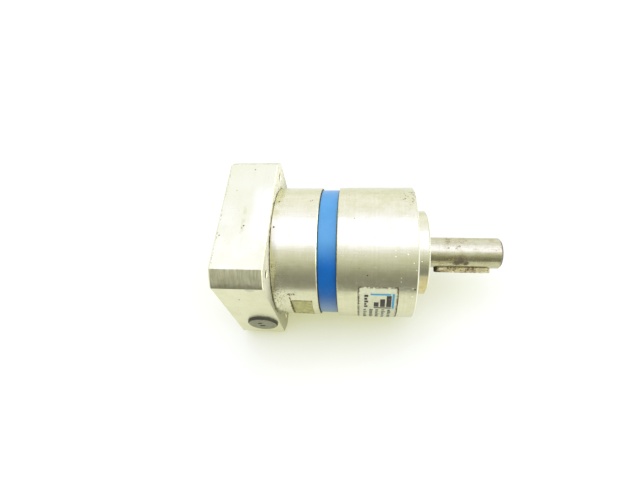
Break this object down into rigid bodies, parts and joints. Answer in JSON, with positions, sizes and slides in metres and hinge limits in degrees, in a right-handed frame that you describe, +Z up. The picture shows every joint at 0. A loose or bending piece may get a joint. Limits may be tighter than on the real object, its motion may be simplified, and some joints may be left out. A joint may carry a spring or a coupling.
{
  "type": "planetary gearbox",
  "caption": "Inline planetary gearbox: round aluminium housing with a blue band, square motor adapter with a clamping hub, and a keyed output shaft.",
  "frame": {"origin": "where the gearbox axis meets the output mounting face", "axes": "+X along the output shaft towards its tip, +Z up, the motor adapter's flats square to Y and Z"},
  "size_m": [0.122, 0.0654, 0.064],
  "materials": {
    "turned_aluminium": "fine turned",
    "case_aluminium": "fine turned",
    "milled_aluminium": "milled, worn",
    "blue_band": "satin",
    "label_film": "printed film",
    "plug_plastic": "moulded",
    "blackened_steel": "black oxide",
    "shaft_steel": "ground",
    "key_steel": "rusted",
    "spring_steel": "phosphated",
    "seal_rubber": "matte",
    "carrier_steel": "machined",
    "bearing_steel": "polished",
    "washer_bronze": "satin",
    "gear_steel": "ground",
    "hub_steel": "machined",
    "collar_steel": "machined",
    "cage_brass": "satin"
  },
  "bodies": {
    "housing": {"front_housing": "turned_aluminium", "gear_case": "case_aluminium", "trim_band": "blue_band", "rating_label": "label_film", "motor_adapter": "milled_aluminium", "adapter_screws": "blackened_steel", "case_o_ring": "seal_rubber", "adapter_o_ring": "seal_rubber", "bearing_retainer": "spring_steel", "output_seal_case": "spring_steel", "output_seal_lip": "seal_rubber", "output_seal_spring": "spring_steel", "ring_gear": "gear_steel", "front_bearing_outer": "bearing_steel", "rear_bearing_outer": "bearing_steel", "input_bearing_outer": "bearing_steel", "input_bearing_shield": "seal_rubber"},
    "output": {"output_shaft": "shaft_steel", "output_key": "key_steel", "shaft_circlip": "spring_steel", "planet_carrier": "carrier_steel", "planet_pins": "bearing_steel", "thrust_washers": "washer_bronze", "front_bearing_inner": "bearing_steel", "rear_bearing_inner": "bearing_steel"},
    "input": {"input_hub": "hub_steel", "sun_gear": "gear_steel", "clamp_collar": "collar_steel", "clamp_screw": "blackened_steel", "hub_circlip": "spring_steel", "input_bearing_inner": "bearing_steel"},
    "front_balls": {"front_bearing_balls": "bearing_steel", "front_bearing_cage": "cage_brass"},
    "rear_balls": {"rear_bearing_balls": "bearing_steel", "rear_bearing_cage": "cage_brass"},
    "input_balls": {"input_bearing_balls": "bearing_steel", "input_bearing_cage": "cage_brass"},
    "plug": {"access_plug": "plug_plastic"},
    "planet_1": {"planet_gear_1": "gear_steel"},
    "rollers_1": {"planet_needles_1": "bearing_steel"},
    "planet_2": {"planet_gear_2": "gear_steel"},
    "rollers_2": {"planet_needles_2": "bearing_steel"},
    "planet_3": {"planet_gear_3": "gear_steel"},
    "rollers_3": {"planet_needles_3": "bearing_steel"}
  },
  "joints": [
    {"name": "output_spin", "type": "hinge", "parent": "housing", "child": "output", "pos_m": [0, 0, 0], "axis": [1, 0, 0], "continuous": true},
    {"name": "input_spin", "type": "hinge", "parent": "housing", "child": "input", "pos_m": [-0.055, 0, 0], "axis": [1, 0, 0], "continuous": true},
    {"name": "front_balls_spin", "type": "hinge", "parent": "housing", "child": "front_balls", "pos_m": [-0.0065, 0, 0], "axis": [1, 0, 0], "continuous": true},
    {"name": "rear_balls_spin", "type": "hinge", "parent": "housing", "child": "rear_balls", "pos_m": [-0.0185, 0, 0], "axis": [1, 0, 0], "continuous": true},
    {"name": "input_balls_spin", "type": "hinge", "parent": "housing", "child": "input_balls", "pos_m": [-0.0551, 0, 0], "axis": [1, 0, 0], "continuous": true},
    {"name": "planet_1_spin", "type": "hinge", "parent": "output", "child": "planet_1", "pos_m": [-0.0392, 0, 0.0144], "axis": [1, 0, 0], "continuous": true},
    {"name": "rollers_1_spin", "type": "hinge", "parent": "output", "child": "rollers_1", "pos_m": [-0.0392, 0, 0.0144], "axis": [1, 0, 0], "continuous": true},
    {"name": "planet_2_spin", "type": "hinge", "parent": "output", "child": "planet_2", "pos_m": [-0.0392, -0.01247, -0.0072], "axis": [1, 0, 0], "continuous": true},
    {"name": "rollers_2_spin", "type": "hinge", "parent": "output", "child": "rollers_2", "pos_m": [-0.0392, -0.01247, -0.0072], "axis": [1, 0, 0], "continuous": true},
    {"name": "planet_3_spin", "type": "hinge", "parent": "output", "child": "planet_3", "pos_m": [-0.0392, 0.01247, -0.0072], "axis": [1, 0, 0], "continuous": true},
    {"name": "rollers_3_spin", "type": "hinge", "parent": "output", "child": "rollers_3", "pos_m": [-0.0392, 0.01247, -0.0072], "axis": [1, 0, 0], "continuous": true},
    {"name": "plug_pull", "type": "slide", "parent": "housing", "child": "plug", "axis": [0, -1, 0], "range_m": [0, 0.012]}
  ],
  "couplings": [
    {"joint": "input_spin", "follows": "output_spin", "ratio": 4},
    {"joint": "front_balls_spin", "follows": "output_spin", "ratio": 0.40846},
    {"joint": "rear_balls_spin", "follows": "output_spin", "ratio": 0.39758},
    {"joint": "input_balls_spin", "follows": "output_spin", "ratio": 1.7308},
    {"joint": "planet_1_spin", "follows": "output_spin", "ratio": -3},
    {"joint": "rollers_1_spin", "follows": "output_spin", "ratio": -1.8},
    {"joint": "planet_2_spin", "follows": "output_spin", "ratio": -3},
    {"joint": "rollers_2_spin", "follows": "output_spin", "ratio": -1.8},
    {"joint": "planet_3_spin", "follows": "output_spin", "ratio": -3},
    {"joint": "rollers_3_spin", "follows": "output_spin", "ratio": -1.8}
  ]
}
